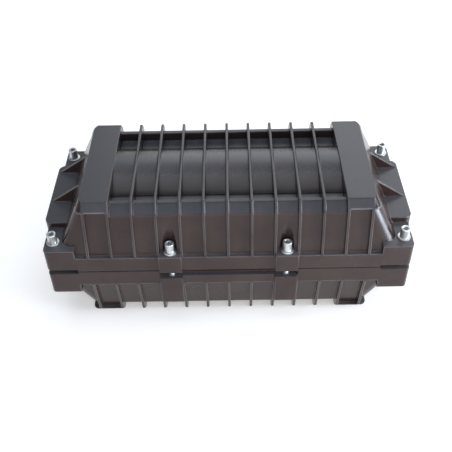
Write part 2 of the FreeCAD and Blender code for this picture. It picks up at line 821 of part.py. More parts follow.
def make_closing_hardware():
    """Cap screws and threaded inserts at the corners and side bosses."""
    corner_screw = make_cap_screw("corner_screw", s.corner_screw_length)
    side_screw = make_cap_screw("side_screw", s.side_screw_length)
    insert = make_insert("insert")
    group("corner_screws", corner_screw, [(x, y, s.corner_pad_height) for x, y in corner_places])
    group("side_screws", side_screw, [(x, y, s.side_pad_height) for x, y in side_places])
    group("threaded_inserts", insert, [(x, y, -relief_level - s.insert_length) for x, y in corner_places]
          + [(x, y, -pry_level - s.insert_length) for x, y in side_places])


def clamp_screw_places(x, y):
    """The two screws of the cable clamp at a place, in plan."""
    return [(x, y + clamp_screw_reach), (x, y - clamp_screw_reach)]


def make_bracket():
    """The folded steel bracket: a low deck for the trays and a raised shelf at each end for the cables."""
    body = new_body("tray_bracket")
    inner = s.bracket_riser
    outer = s.bracket_riser + s.bracket_thickness
    shelf_under = shelf_top - s.bracket_thickness
    half = [
        (outer, bracket_under), (outer, shelf_under), (s.bracket_half_length, shelf_under),
        (s.bracket_half_length, shelf_top), (inner, shelf_top), (inner, bracket_top),
    ]
    drawing = draw(body, "fold", "XZ_Plane")
    outline(drawing, half + [(-x, z) for x, z in reversed(half)])
    extrude(body, "Pad", drawing, 2 * s.bracket_half_width, both_ways=True)
    for number, (x, y) in enumerate(four_ways(1, 1)):
        drawing = draw(body, f"holes_{number}", "XY_Plane")
        holes = [
            (x * s.post_x, y * s.post_y), (x * s.tray_screw_x, y * s.tray_screw_y),
            (x * s.plate_x, y * port_y), *clamp_screw_places(x * s.clamp_x, y * port_y),
        ]
        for point in holes:
            hexagon(drawing, point, small_hole_radius)
        extrude(body, "Pocket", drawing, s.bracket_level + s.wall, -1)


def make_tray(label, level, hinge_arm):
    """A splice tray with two round fibre guides, tabs at its rim, tube slots and its half of the hinge."""
    body = new_body(label)
    drawing = draw(body, "plan", "XY_Plane", level)
    rounded_rectangle(drawing, s.tray_half_length, s.tray_half_width, s.tray_corner)
    extrude(body, "Pad", drawing, s.tray_height)
    drawing = draw(body, "hollow", "XY_Plane", level + s.tray_wall)
    inner_length = s.tray_half_length - s.tray_wall
    inner_width = s.tray_half_width - s.tray_wall
    rounded_rectangle(drawing, inner_length, inner_width, s.tray_corner - s.tray_wall)
    extrude(body, "Pocket", drawing, s.tray_height)
    drawing = draw(body, "guides", "XY_Plane", level + s.tray_wall / 2)
    inner_radius = s.guide_radius - s.tray_wall
    for end in (1, -1):
        x = end * s.guide_x
        corners = [(x, -s.guide_radius), (x, s.guide_radius), (x, inner_radius), (x, -inner_radius)]
        outline(drawing, corners, {0: ((x, 0), end), 2: ((x, 0), -end)})
    extrude(body, "Pad", drawing, s.guide_height)
    rim = level + s.tray_height
    drawing = draw(body, "tabs", "XY_Plane", rim)
    for x in (s.tab_x, -s.tab_x):
        for low, high in ((s.tray_half_width - s.tab_reach, s.tray_half_width - s.tray_wall / 2),
                          (s.tray_wall / 2 - s.tray_half_width, s.tab_reach - s.tray_half_width)):
            rectangle(drawing, (x - s.tab_half_length, low), (x + s.tab_half_length, high))
    extrude(body, "Pad", drawing, s.tab_thickness, -1)
    hinge_arm(body)
    drawing = draw(body, "tube_slots", "YZ_Plane", -s.tray_half_length - s.tray_wall)
    for y in (s.tube_slot_y, -s.tube_slot_y):
        rectangle(drawing, (y - s.tube_slot_half_width, rim - s.tube_slot_depth),
                  (y + s.tube_slot_half_width, rim + s.tray_wall))
    extrude(body, "Pocket", drawing, 3 * s.tray_wall)
    return body


def pad_across(body, name, profile, arcs, centre_y, width):
    """Pad an XZ profile to a width about two places mirrored in the XZ plane."""
    for word, y in (("back", centre_y), ("front", -centre_y)):
        drawing = draw(body, f"{name}_{word}", "XZ_Plane", -y)
        outline(drawing, profile, arcs)
        extrude(body, "Pad", drawing, width, both_ways=True)


def bore_hinge(body):
    """The pin's bore through every knuckle of a tray."""
    drawing = draw(body, "pin_bore", "XZ_Plane")
    circle(drawing, (hinge_x, hinge_level), s.hinge_pin_radius + s.hinge_pin_clearance)
    extrude(body, "Pocket", drawing, 2 * s.tray_half_width, both_ways=True)


def add_hinge_ears(body):
    """Upright ears on the fixed tray that hold the hinge pin's ends."""
    near = s.tray_wall / 2 - s.tray_half_length
    left = hinge_x - s.knuckle_radius
    right = hinge_x + s.knuckle_radius
    foot = lower_tray_level + s.tray_wall
    shelf = lower_rim - s.tray_wall
    profile = [
        (near, foot), (near, shelf), (right, shelf), (right, hinge_level), (left, hinge_level), (left, foot),
    ]
    ear_y = s.knuckle_y + s.knuckle_width + s.knuckle_side_gap
    pad_across(body, "ear", profile, {3: ((hinge_x, hinge_level), 1)}, ear_y, s.knuckle_width)
    bore_hinge(body)


def add_hinge_knuckles(body):
    """Knuckles of the swinging tray, between the ears of the fixed one."""
    near = s.tray_wall / 2 - s.tray_half_length
    right = hinge_x + s.knuckle_radius
    top = hinge_level + s.knuckle_radius
    shelf = upper_tray_level + s.tray_wall / 2
    profile = [(near, shelf), (near, top), (hinge_x, top), (right, hinge_level), (right, shelf)]
    pad_across(body, "knuckle", profile, {2: ((hinge_x, hinge_level), 1)}, s.knuckle_y, s.knuckle_width)
    bore_hinge(body)


def drill_tray_screws(body):
    """Holes for the screws that hold the fixed tray to the bracket."""
    drawing = draw(body, "screw_holes", "XY_Plane", lower_tray_level)
    for point in four_ways(s.tray_screw_x, s.tray_screw_y):
        hexagon(drawing, point, small_hole_radius)
    extrude(body, "Pocket", drawing, s.tray_height / 2)


def make_hinge_pin():
    """The pin on which the upper tray swings."""
    body = new_body("tray_hinge_pin")
    drawing = draw(body, "section", "XZ_Plane")
    circle(drawing, (hinge_x, hinge_level), s.hinge_pin_radius)
    reach = s.knuckle_y + 1.5 * s.knuckle_width + s.knuckle_side_gap + s.hinge_pin_overhang
    extrude(body, "Pad", drawing, 2 * reach, both_ways=True)


def make_splice_holder(label, floor):
    """A comb whose slots hold the splice sleeves, standing on a tray's floor."""
    body = new_body(label)
    comb_half = s.fin_pitch * (s.fin_count - 1) / 2
    half_width = comb_half + s.fin_thickness / 2
    drawing = draw(body, "base", "XY_Plane", floor)
    rectangle(drawing, (-s.holder_half_length, -half_width), (s.holder_half_length, half_width))
    extrude(body, "Pad", drawing, s.holder_base)
    drawing = draw(body, "fin", "XY_Plane", floor + s.holder_base / 2)
    rectangle(drawing, (-s.holder_half_length, -half_width),
              (s.holder_half_length, s.fin_thickness - half_width))
    fin = extrude(body, "Pad", drawing, s.fin_height)
    pattern(body, fin, "Y_Axis", 2 * comb_half, s.fin_count)


def make_tray_lid():
    """The clear lid on the upper tray, with a thumb notch in each long edge."""
    body = new_body("tray_lid")
    drawing = draw(body, "plan", "XY_Plane", upper_rim)
    rounded_rectangle(drawing, s.tray_half_length, s.tray_half_width, s.tray_corner)
    extrude(body, "Pad", drawing, s.lid_thickness)
    drawing = draw(body, "thumb_notches", "XY_Plane", upper_rim)
    for y in (s.tray_half_width, -s.tray_half_width):
        circle(drawing, (0, y), s.thumb_radius)
    extrude(body, "Pocket", drawing, s.lid_thickness)


def make_cable_clamp(label, x, y):
    """A strap folded over a cable in flats, with a foot on each side."""
    body = new_body(label)
    inner = s.clamp_inner_radius
    outer = inner + s.clamp_thickness
    fold = math.tan(math.pi / 8)
    foot = outer + s.clamp_foot
    foot_top = shelf_top + s.clamp_thickness
    over = [
        (foot, shelf_top), (foot, foot_top), (outer, foot_top), (outer, fold * outer), (fold * outer, outer),
    ]
    under = [(fold * inner, inner), (inner, fold * inner), (inner, shelf_top)]
    corners = over + [(-across, level) for across, level in reversed(over)]
    corners += [(-across, level) for across, level in reversed(under)] + under
    drawing = draw(body, "strap", "YZ_Plane", x)
    outline(drawing, [(y + across, level) for across, level in corners])
    extrude(body, "Pad", drawing, 2 * s.clamp_half_length, both_ways=True)
    drawing = draw(body, "holes", "XY_Plane", shelf_top)
    for point in clamp_screw_places(x, y):
        hexagon(drawing, point, small_hole_radius)
    extrude(body, "Pocket", drawing, 2 * s.clamp_thickness)


def make_anchor_plate(label, x, y):
    """A plate that pinches a cable's strength member on the shelf."""
    body = new_body(label)
    drawing = draw(body, "plan", "XY_Plane", shelf_top)
    rectangle(drawing, (x - s.plate_half_length, y - s.plate_half_width),
              (x + s.plate_half_length, y + s.plate_half_width))
    hexagon(drawing, (x, y), small_hole_radius)
    extrude(body, "Pad", drawing, s.plate_thickness)


def make_small_screws():
    """Small screws of the bracket, the fixed tray, the cable clamps and the anchor plates."""
    post_screw = make_small_screw("post_screw", s.bracket_screw_length)
    tray_screw = make_small_screw("tray_screw", s.tray_screw_length)
    shelf_screw = make_small_screw("shelf_screw", s.clamp_screw_length)
    tray_floor = lower_tray_level + s.tray_wall
    clamp_seat = shelf_top + s.clamp_thickness
    plate_seat = shelf_top + s.plate_thickness
    group("bracket_screws", post_screw, [(x, y, bracket_top) for x, y in four_ways(s.post_x, s.post_y)])
    tray_screws = four_ways(s.tray_screw_x, s.tray_screw_y)
    group("tray_screws", tray_screw, [(x, y, tray_floor) for x, y in tray_screws])
    clamp_screws = [point for place in four_ways(s.clamp_x, port_y) for point in clamp_screw_places(*place)]
    group("clamp_screws", shelf_screw, [(x, y, clamp_seat) for x, y in clamp_screws])
    group("anchor_screws", shelf_screw, [(x, y, plate_seat) for x, y in four_ways(s.plate_x, port_y)])


def check_document():
    """Stop if an object failed, a cut removed nothing or a piece is not a valid solid."""
    for item in doc.Objects:
        if {"Invalid", "Error"} & set(item.State):
            raise RuntimeError(f"{item.Name}: {item.State} {item.getStatusString()}")
        if item.TypeId == "PartDesign::Pocket" and item.Shape.Volume >= item.BaseFeature.Shape.Volume:
            raise RuntimeError(f"{item.Name} cuts nothing")
    for piece in pieces:
        if piece.Shape.isNull() or not piece.Shape.isValid() or not piece.Shape.Solids:
            raise RuntimeError(f"{piece.Label} is not a valid solid")


make_shell("upper_shell", 1, add_screw_holes)
make_shell("lower_shell", -1, add_lower_hollows)
make_gasket("gasket_back", 1)
make_gasket("gasket_front", -1)
make_end_seal("end_seal_right", 1)
make_end_seal("end_seal_left", -1)
make_closing_hardware()
make_bracket()
lower_tray = make_tray("splice_tray_lower", lower_tray_level, add_hinge_ears)
drill_tray_screws(lower_tray)
make_tray("splice_tray_upper", upper_tray_level, add_hinge_knuckles)
make_hinge_pin()
make_splice_holder("splice_holder_lower", lower_tray_level + s.tray_wall)
make_splice_holder("splice_holder_upper", upper_tray_level + s.tray_wall)
make_tray_lid()
for x_word, y_word, x_sign, y_sign in (
    ("right", "back", 1, 1), ("left", "back", -1, 1), ("right", "front", 1, -1), ("left", "front", -1, -1),
):
    make_cable_clamp(f"cable_clamp_{x_word}_{y_word}", x_sign * s.clamp_x, y_sign * port_y)
    make_anchor_plate(f"anchor_plate_{x_word}_{y_word}", x_sign * s.plate_x, y_sign * port_y)
make_small_screws()

doc.recompute()
check_document()
os.makedirs("parts", exist_ok=True)
for piece in pieces:
    piece.Shape.exportStep(f"parts/{piece.Label}.step")
print(f"{len(pieces)} pieces written")
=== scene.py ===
import json
import math

import bmesh
import bpy
from mathutils import Matrix, Vector


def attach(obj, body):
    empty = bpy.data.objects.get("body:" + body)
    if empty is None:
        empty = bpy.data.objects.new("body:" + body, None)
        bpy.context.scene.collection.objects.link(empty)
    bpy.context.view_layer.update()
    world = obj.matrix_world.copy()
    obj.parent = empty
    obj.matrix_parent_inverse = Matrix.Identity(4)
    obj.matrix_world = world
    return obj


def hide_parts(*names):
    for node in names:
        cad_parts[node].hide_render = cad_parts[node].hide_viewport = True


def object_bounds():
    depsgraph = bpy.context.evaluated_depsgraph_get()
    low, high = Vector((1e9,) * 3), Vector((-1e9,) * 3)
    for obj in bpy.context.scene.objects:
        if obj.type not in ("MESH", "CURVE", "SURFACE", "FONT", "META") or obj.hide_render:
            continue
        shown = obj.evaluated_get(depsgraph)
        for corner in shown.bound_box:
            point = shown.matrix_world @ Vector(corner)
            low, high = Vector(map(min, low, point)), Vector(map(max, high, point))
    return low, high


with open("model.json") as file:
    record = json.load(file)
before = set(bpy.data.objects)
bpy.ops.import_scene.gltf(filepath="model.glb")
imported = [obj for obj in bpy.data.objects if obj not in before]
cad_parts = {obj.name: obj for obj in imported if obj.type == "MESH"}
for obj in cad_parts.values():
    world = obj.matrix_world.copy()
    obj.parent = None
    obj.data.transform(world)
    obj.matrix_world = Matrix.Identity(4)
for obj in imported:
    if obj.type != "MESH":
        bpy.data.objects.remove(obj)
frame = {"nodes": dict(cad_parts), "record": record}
cad_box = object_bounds()
nodes = frame["nodes"]

# Places and lengths are in metres; screws are drawn in millimetres
MM = 0.001

# Level of the parting line: the two shells are equally high
SEAM = (cad_box[0][2] + cad_box[1][2]) / 2

# Camera, fitted to the photograph: image of 452 by 452 pixels
IMAGE = 452
FOCAL_PIXELS = 698.0
ELEVATION = math.radians(42.54)
YAW = math.radians(0.519)
ROLL = math.radians(-1.294)
DISTANCE = 0.8354
AIM = Vector((-0.00275, 0.0, 0.06501))

# Rounding of sharp edges
SHELL_ROUND = 0.0005
PART_ROUND = 0.00025
SHARP_ANGLE = math.radians(32)
FLAT_ANGLE = math.radians(0.3)
SAME_POINT = 0.000005
CLOSED_GAP = 0.00002

# Where the hump's corner fillets and its end edges begin, from the closure's middle and from the seam
CORNER_ALONG, CORNER_ACROSS, CORNER_RISE = 0.1455, 0.066, 0.022
CROWN_ALONG, CROWN_RISE = 0.149, 0.066

# Heights of the screw heads above their seats in millimetres; the cap screw's includes its washer
CAP_HEAD = 13.1
SMALL_HEAD = 2.4
SCREW_FACET = math.radians(28)

# Floor and lamps
FLOOR_REACH = 6.0
FLOOR_GAP = 0.0002
LAMP_TARGET = Vector((0.0, 0.0, 0.08))


class Shader:
    """A principled node material, written as a few calls."""

    def __init__(self, name):
        self.material = bpy.data.materials.new(name)
        self.material.use_nodes = True
        self.tree = self.material.node_tree
        self.surface = self.tree.nodes["Principled BSDF"]
        self.place = self.node("TexCoord").outputs["Object"]

    def node(self, kind, inputs=None, **settings):
        """Add a node with its settings, its inputs being values or other nodes' outputs."""
        node = self.tree.nodes.new(f"ShaderNode{kind}")
        for key, value in settings.items():
            setattr(node, key, value)
        for socket, value in (inputs or {}).items():
            self.feed(node.inputs[socket], value)
        return node

    def feed(self, socket, value):
        """Set a socket to a value, or link it to an output."""
        if isinstance(value, bpy.types.NodeSocket):
            self.tree.links.new(value, socket)
        else:
            socket.default_value = value

    def set(self, **values):
        """Set inputs of the principled shader by their names with underscores."""
        for key, value in values.items():
            self.feed(self.surface.inputs[key.replace("_", " ")], value)

    def noise(self, scale, detail, stretch=None):
        """Noise of the given number of features per metre, or of its own number on each axis."""
        place = self.place
        if stretch:
            place = self.node("Mapping", {"Vector": place, "Scale": stretch}).outputs["Vector"]
        return self.node("TexNoise", {"Vector": place, "Scale": scale, "Detail": detail}).outputs["Fac"]

    def ramp(self, factor, low, high):
        """Spread a factor's range between two limits over 0 to 1."""
        inputs = {"Value": factor, "From Min": low, "From Max": high}
        return self.node("MapRange", inputs, clamp=True).outputs["Result"]

    def span(self, factor, low, high):
        """Turn a factor from 0 to 1 into a value from low to high."""
        inputs = {"Value": factor, "To Min": low, "To Max": high}
        return self.node("MapRange", inputs, clamp=True).outputs["Result"]

    def compute(self, operation, first, second):
        """One arithmetic step."""
        return self.node("Math", {0: first, 1: second}, operation=operation).outputs["Value"]

    def mix(self, factor, first, second):
        """Mix two colours."""
        node = self.node("Mix", data_type="RGBA")
        self.feed(node.inputs["Factor"], factor)
        for socket, colour in (("A", first), ("B", second)):
            slot = [item for item in node.inputs if item.name == socket and item.type == "RGBA"][0]
            self.feed(slot, colour if isinstance(colour, bpy.types.NodeSocket) else (*colour, 1.0))
        return [item for item in node.outputs if item.type == "RGBA"][0]

    def bump(self, height, distance, strength, under=None):
        """A bump, on top of another normal if given."""
        inputs = {"Height": height, "Distance": distance, "Strength": strength}
        if under:
            inputs["Normal"] = under
        return self.node("Bump", inputs).outputs["Normal"]

    def height_off_seam(self):
        """The distance above or below the parting line."""
        level = self.node("SeparateXYZ", {0: self.place}).outputs["Z"]
        return self.compute("ABSOLUTE", self.compute("SUBTRACT", level, SEAM), 0.0)

    def edges(self, reach):
        """Where an outer edge is near: there the solid behind the surface is shallow."""
        deep, shallow = 0.92, 0.55
        inputs = {"Distance": reach}
        depth = self.node("AmbientOcclusion", inputs, samples=8, inside=True, only_local=True)
        return self.ramp(depth.outputs["AO"], deep, shallow)

    def facing_up(self):
        """How far the surface faces upwards."""
        return self.node("SeparateXYZ", {0: self.node("NewGeometry").outputs["Normal"]}).outputs["Z"]


def shell_plastic():
    """Black moulding with a brownish tint that is painted reflection: fine grain, faint flow streaks,
    edges painted paler as highlight and wear, and dust with painted top light on what faces up.
    """
    # The brownish tint of these blacks is painted reflection of warm surroundings
    deep, pale = (0.029, 0.0170, 0.0150), (0.039, 0.0240, 0.0215)
    # Cool grey for dust and painted top light; paler grey for edge wear and painted edge highlight
    dust_and_top_light_tone, edge_wear_and_highlight_tone = (0.115, 0.119, 0.127), (0.130, 0.132, 0.140)
    edge_band_width, edge_radius = 0.0017, 0.0016
    # Height off the seam below which edges stay plain and above which the painted highlight and wear are
    # full
    plain_edges_below, pale_edges_above = 0.005, 0.022
    shader = Shader("shell_plastic")
    cloud = shader.noise(28, detail=4)
    base = shader.mix(shader.ramp(cloud, 0.35, 0.65), deep, pale)
    top = shader.ramp(shader.facing_up(), 0.85, 1.0)
    speck = shader.ramp(shader.noise(1800, detail=2), 0.3, 0.7)
    # Dust with painted light: upward faces are greyed both as dust and as the light that falls on them
    dust_and_top_light = shader.compute("MULTIPLY", top, shader.span(speck, 0.35, 0.6))
    dusty_and_top_lit = shader.mix(dust_and_top_light, base, dust_and_top_light_tone)
    # Painted highlight and wear: outer edges turn pale grey, less near the seam and on upward faces
    edge_wear_and_highlight = shader.edges(edge_band_width)
    for share in (
        shader.span(shader.ramp(cloud, 0.3, 0.6), 0.45, 1.0),
        shader.ramp(shader.height_off_seam(), plain_edges_below, pale_edges_above),
        shader.span(top, 1.0, 0.3),
    ):
        edge_wear_and_highlight = shader.compute("MULTIPLY", edge_wear_and_highlight, share)
    streak = shader.noise(1, detail=3, stretch=(260, 260, 14))
    rough = shader.compute("ADD", shader.span(streak, 0.17, 0.26), shader.compute("MULTIPLY", dust_and_top_light, 0.18))
    rounded = shader.node("Bevel", {"Radius": edge_radius}, samples=6).outputs["Normal"]
    swell = shader.bump(shader.noise(22, detail=2), distance=0.0012, strength=0.25, under=rounded)
    grain = shader.bump(shader.noise(1400, detail=2), distance=0.00005, strength=0.3, under=swell)
    shader.set(Base_Color=shader.mix(edge_wear_and_highlight, dusty_and_top_lit, edge_wear_and_highlight_tone), Roughness=rough, Normal=grain, IOR=1.40)
    return shader.material


def stainless():
    """Bright steel with fine turning marks."""
    shader = Shader("stainless")
    marks = shader.noise(1, detail=2, stretch=(500, 500, 4000))
    colour = shader.mix(shader.noise(160, detail=3), (0.56, 0.56, 0.55), (0.68, 0.68, 0.67))
    normal = shader.bump(marks, distance=0.00003, strength=0.4)
    shader.set(Base_Color=colour, Metallic=1.0, Roughness=shader.span(marks, 0.33, 0.46), Normal=normal)
    return shader.material


def seal_rubber():
    """Dark rubber with a matt bloom."""
    shader = Shader("seal_rubber")
    bloom = shader.ramp(shader.noise(60, detail=4), 0.4, 0.7)
    colour = shader.mix(bloom, (0.022, 0.022, 0.023), (0.048, 0.047, 0.046))
    normal = shader.bump(shader.noise(900, detail=3), distance=0.0001, strength=0.4)
    shader.set(Base_Color=colour, Roughness=shader.span(bloom, 0.62, 0.82), Normal=normal)
    return shader.material


def plated_steel():
    """Zinc plated sheet: rolling streaks along its length and a faint spangle."""
    shader = Shader("plated_steel")
    rolled = shader.noise(1, detail=3, stretch=(40, 1200, 1200))
    spangle = shader.node("TexVoronoi", {"Vector": shader.place, "Scale": 180.0}).outputs["Color"]
    tone = shader.node("SeparateColor", {0: spangle}).outputs["Red"]
    colour = shader.mix(tone, (0.56, 0.57, 0.58), (0.66, 0.67, 0.68))
    normal = shader.bump(rolled, distance=0.00004, strength=0.4)
    shader.set(Base_Color=colour, Metallic=1.0, Roughness=shader.span(rolled, 0.28, 0.46), Normal=normal)
    return shader.material


def soft_plastic(name, dark, light, rough):
    """A matt moulding with slight cloudiness and a fine grain."""
    shader = Shader(name)
    cloud = shader.ramp(shader.noise(35, detail=4), 0.35, 0.65)
    colour = shader.mix(cloud, dark, light)
    normal = shader.bump(shader.noise(1600, detail=2), distance=0.00006, strength=0.4)
    shader.set(Base_Color=colour, Roughness=shader.span(cloud, rough, rough + 0.1), Normal=normal)
    return shader.material


def clear_plastic():
    """A clear sheet with faint handling marks."""
    shader = Shader("clear_plastic")
    marks = shader.ramp(shader.noise(1, detail=3, stretch=(90, 700, 90)), 0.5, 0.8)
    colour = shader.mix(marks, (0.93, 0.96, 0.97), (0.88, 0.91, 0.93))
    rough = shader.span(marks, 0.04, 0.16)
    shader.set(Base_Color=colour, Roughness=rough, IOR=1.49, Transmission_Weight=1.0)
    return shader.material


def sharp_edges():
    """A node group that marks sharp edges to be rounded, or kept sharp where the hump's corners blend."""
    group = bpy.data.node_groups.new("sharp_edges", "GeometryNodeTree")
    for side in ("INPUT", "OUTPUT"):
        group.interface.new_socket("Geometry", in_out=side, socket_type="NodeSocketGeometry")
    link = group.links.new
    node = group.nodes.new

    def compute(operation, first, second):
        """One arithmetic step on an output and a number or another output."""
        step = node("ShaderNodeMath")
        step.operation = operation
        link(first, step.inputs[0])
        if isinstance(second, bpy.types.NodeSocket):
            link(second, step.inputs[1])
        else:
            step.inputs[1].default_value = second
        return step.outputs["Value"]

    offset = node("ShaderNodeVectorMath")
    offset.operation = "SUBTRACT"
    link(node("GeometryNodeInputPosition").outputs["Position"], offset.inputs[0])
    offset.inputs[1].default_value = (0.0, 0.0, SEAM)
    outward = node("ShaderNodeVectorMath")
    outward.operation = "ABSOLUTE"
    link(offset.outputs["Vector"], outward.inputs[0])
    apart = node("ShaderNodeSeparateXYZ")
    link(outward.outputs["Vector"], apart.inputs[0])
    along, across, rise = apart.outputs

    corner = compute("GREATER_THAN", along, CORNER_ALONG)
    corner = compute("MULTIPLY", corner, compute("GREATER_THAN", across, CORNER_ACROSS))
    corner = compute("MULTIPLY", corner, compute("GREATER_THAN", rise, CORNER_RISE))
    crown = compute("GREATER_THAN", along, CROWN_ALONG)
    crown = compute("MULTIPLY", crown, compute("GREATER_THAN", rise, CROWN_RISE))
    blended = compute("MAXIMUM", corner, crown)
    angle = node("GeometryNodeInputMeshEdgeAngle").outputs["Unsigned Angle"]
    sharp = compute("GREATER_THAN", angle, SHARP_ANGLE)

    shape = node("NodeGroupInput").outputs[0]
    for name, kind, value in (
        ("bevel_weight_edge", "FLOAT", compute("GREATER_THAN", sharp, blended)),
        ("sharp_edge", "BOOLEAN", compute("MULTIPLY", sharp, blended)),
    ):
        store = node("GeometryNodeStoreNamedAttribute")
        store.data_type = kind
        store.domain = "EDGE"
        store.inputs["Name"].default_value = name
        link(value, store.inputs["Value"])
        link(shape, store.inputs["Geometry"])
        shape = store.outputs["Geometry"]
    link(shape, node("NodeGroupOutput").inputs[0])
    return group


def soften(piece, width, marks):
    """Round the sharp edges a little, as a moulding or a deburred part has them."""
    weld = piece.modifiers.new("weld", "WELD")
    weld.merge_threshold = SAME_POINT
    flat = piece.modifiers.new("flat", "DECIMATE")
    flat.decimate_type = "DISSOLVE"
    flat.angle_limit = FLAT_ANGLE
    sharp = piece.modifiers.new("sharp", "NODES")
    sharp.node_group = marks
    bevel = piece.modifiers.new("bevel", "BEVEL")
    bevel.width = width
    bevel.segments = 2
    bevel.limit_method = "WEIGHT"
    bevel.use_clamp_overlap = False
    close = piece.modifiers.new("close", "WELD")
    close.merge_threshold = CLOSED_GAP
    normals = piece.modifiers.new("normals", "WEIGHTED_NORMAL")
    normals.keep_sharp = True


def dress_nodes():
    """Give every CAD node its material and soften its edges."""
    finishes = {
        "shell_plastic": shell_plastic(),
        "stainless": stainless(),
        "seal_rubber": seal_rubber(),
        "plated_steel": plated_steel(),
        "tray_plastic": soft_plastic("tray_plastic", (0.66, 0.68, 0.68), (0.74, 0.75, 0.74), 0.42),
        "holder_plastic": soft_plastic("holder_plastic", (0.06, 0.16, 0.36), (0.08, 0.20, 0.42), 0.38),
        "clear_plastic": clear_plastic(),
    }
    marks = sharp_edges()
    for part in frame["record"]["subparts"]:
        piece = nodes[part["node"]]
        slot = part["material_slot"]
        piece.data.materials.clear()
        piece.data.materials.append(finishes[slot])
        soften(piece, SHELL_ROUND if slot == "shell_plastic" else PART_ROUND, marks)


class Turned:
    """A closed mesh built ring by ring round an upright axis, from its top down to its tip."""

    def __init__(self, segments, top):
        self.segments = segments
        self.points = [(0.0, 0.0, top)]
        self.faces = []
        self.last = None

    def add(self, angle, radius, level):
        """Add one point and return its number."""
        self.points.append((radius * math.cos(angle), radius * math.sin(angle), level))
        return len(self.points) - 1

    def ring(self, radius, level):
        """Add a ring joined to the one before. Radius and level are numbers or follow the angle."""
        new = []
        for step in range(self.segments):
            angle = math.tau * step / self.segments
            out = radius(angle) if callable(radius) else radius
            high = level(angle) if callable(level) else level
            new.append(self.add(angle, out, high))
        for step in range(self.segments):
            after = (step + 1) % self.segments
            if self.last:
                self.faces.append((self.last[step], new[step], new[after], self.last[after]))
            else:
                self.faces.append((0, new[step], new[after]))
        self.last = new

    def thread(self, top, turns, pitch, major, minor, runout):
        """Wind a right-hand thread below the last ring, then a narrower ring below its runout."""
        crest_start, crest_end, narrowing = 0.42, 0.58, 0.86
        count = self.segments
        steps = turns * count
        root, upper, lower = [], [], []
        for step in range(steps + count + 1):
            angle = -math.tau * step / count
            level = top - pitch * step / count
            root.append(self.add(angle, minor, level))
            if step <= steps:
                rise = (major - minor) * min(1.0, 2 * step / count, 2 * (steps - step) / count)
                upper.append(self.add(angle, minor + rise, level - crest_start * pitch))
                lower.append(self.add(angle, minor + rise, level - crest_end * pitch))
        for step in range(steps):
            after = step + 1
            self.faces.append((root[after], upper[after], upper[step], root[step]))
            self.faces.append((upper[after], lower[after], lower[step], upper[step]))
            self.faces.append((lower[after], root[after + count], root[step + count], lower[step]))
        above = self.last
        tip = top - (turns + 1) * pitch - runout
        below = [self.add(math.tau * step / count, narrowing * minor, tip) for step in range(count)]
        for step in range(count):
            here, there = -step % count, -(step + 1) % count
            start = (root[0], upper[0], lower[0]) if step == count - 1 else ()
            self.faces.append((above[there], *start, root[step + 1], root[step], above[here]))
            stop = (root[steps + count], lower[steps], upper[steps]) if step == 0 else ()
            ends = root[steps + step + 1], root[steps + step]
            self.faces.append((ends[0], below[there], below[here], *stop, ends[1]))
        self.last = below

    def close(self, level):
        """Close the tip at a level."""
        tip = self.add(0.0, 0.0, level)
        for step in range(self.segments):
            self.faces.append((self.last[step], tip, self.last[(step + 1) % self.segments]))


def hexagon(corner):
    """The radius of a hexagon with its first corner at angle zero, as a function of the angle."""
    return lambda angle: corner * math.cos(math.pi / 6) / math.cos(angle % (math.pi / 3) - math.pi / 6)


def knurl(radius, depth, ridges):
    """The radius of a ridged round, as a function of the angle."""
    return lambda angle: radius + depth * math.cos(ridges * angle)


def cap_screw(length):
    """A socket cap screw with a knurled head and a captive washer, its seat at level zero."""
    top, washer = CAP_HEAD, 1.6
    socket, socket_depth = 2.9, 5.8
    head, rim, shank = 4.95, 7.0, 2.98
    pitch, turns, root = 1.0, 22, 2.5
    thread_top = (turns + 2) * pitch - length
    grip = knurl(head - 0.07, depth=0.12, ridges=24)
    screw = Turned(48, top - socket_depth)
    for radius, level in (
        (hexagon(socket - 0.05), top - socket_depth + 0.8),
        (hexagon(socket), top - 0.5),
        (socket + 0.3, top),
        (head - 0.55, top),
        (head - 0.2, top - 0.12),
        (head - 0.02, top - 0.45),
        (head, top - 0.8),
        (grip, top - 1.1),
        (grip, washer + 1.5),
        (head, washer + 1.2),
        (head - 0.05, washer + 0.4),
        (head - 0.45, washer + 0.1),
        (head - 0.45, washer),
        (rim - 0.3, washer),
        (rim - 0.07, washer - 0.1),
        (rim, washer - 0.4),
        (rim, 0.3),
        (rim - 0.2, 0.0),
        (shank + 0.22, 0.0),
        (shank, -0.3),
        (shank, thread_top + 0.5),
        (root, thread_top + 0.1),
    ):
        screw.ring(radius, level)
    screw.thread(thread_top, turns, pitch, shank, root, runout=0.4)
    screw.ring(root - 0.5, -length)
    screw.close(-length)
    return screw


def small_screw(length):
    """A small screw with a chamfered hexagon head, its seat at level zero."""
    top, corner, chamfer = SMALL_HEAD, 3.8, 3.05
    pitch, major, root = 0.7, 1.75, 1.40
    thread_top = -0.5
    turns = int((length + thread_top) / pitch) - 3
    outline = hexagon(corner)
    screw = Turned(18, top)
    for radius, level in (
        (chamfer, top),
        (outline, lambda angle: top - 0.5 * (outline(angle) - chamfer)),
        (outline, 0.15),
        (hexagon(corner - 0.2), 0.0),
        (major, 0.0),
        (root, thread_top + 0.1),
    ):
        screw.ring(radius, level)
    screw.thread(thread_top, turns, pitch, major, root, runout=0.3 * pitch)
    screw.ring(root - 0.4, -length)
    screw.close(-length)
    return screw


def solid_boxes(node):
    """The lowest and highest corner of each separate solid in a CAD node."""
    shape = bmesh.new()
    shape.from_mesh(nodes[node].data)
    bmesh.ops.remove_doubles(shape, verts=shape.verts, dist=SAME_POINT)
    seen = set()
    boxes = []
    for first in shape.verts:
        if first in seen:
            continue
        seen.add(first)
        solid = [first]
        for vertex in solid:
            for edge in vertex.link_edges:
                other = edge.other_vert(vertex)
                if other not in seen:
                    seen.add(other)
                    solid.append(other)
        low = Vector([min(vertex.co[axis] for vertex in solid) for axis in range(3)])
        high = Vector([max(vertex.co[axis] for vertex in solid) for axis in range(3)])
        boxes.append((low, high))
    shape.free()
    return boxes


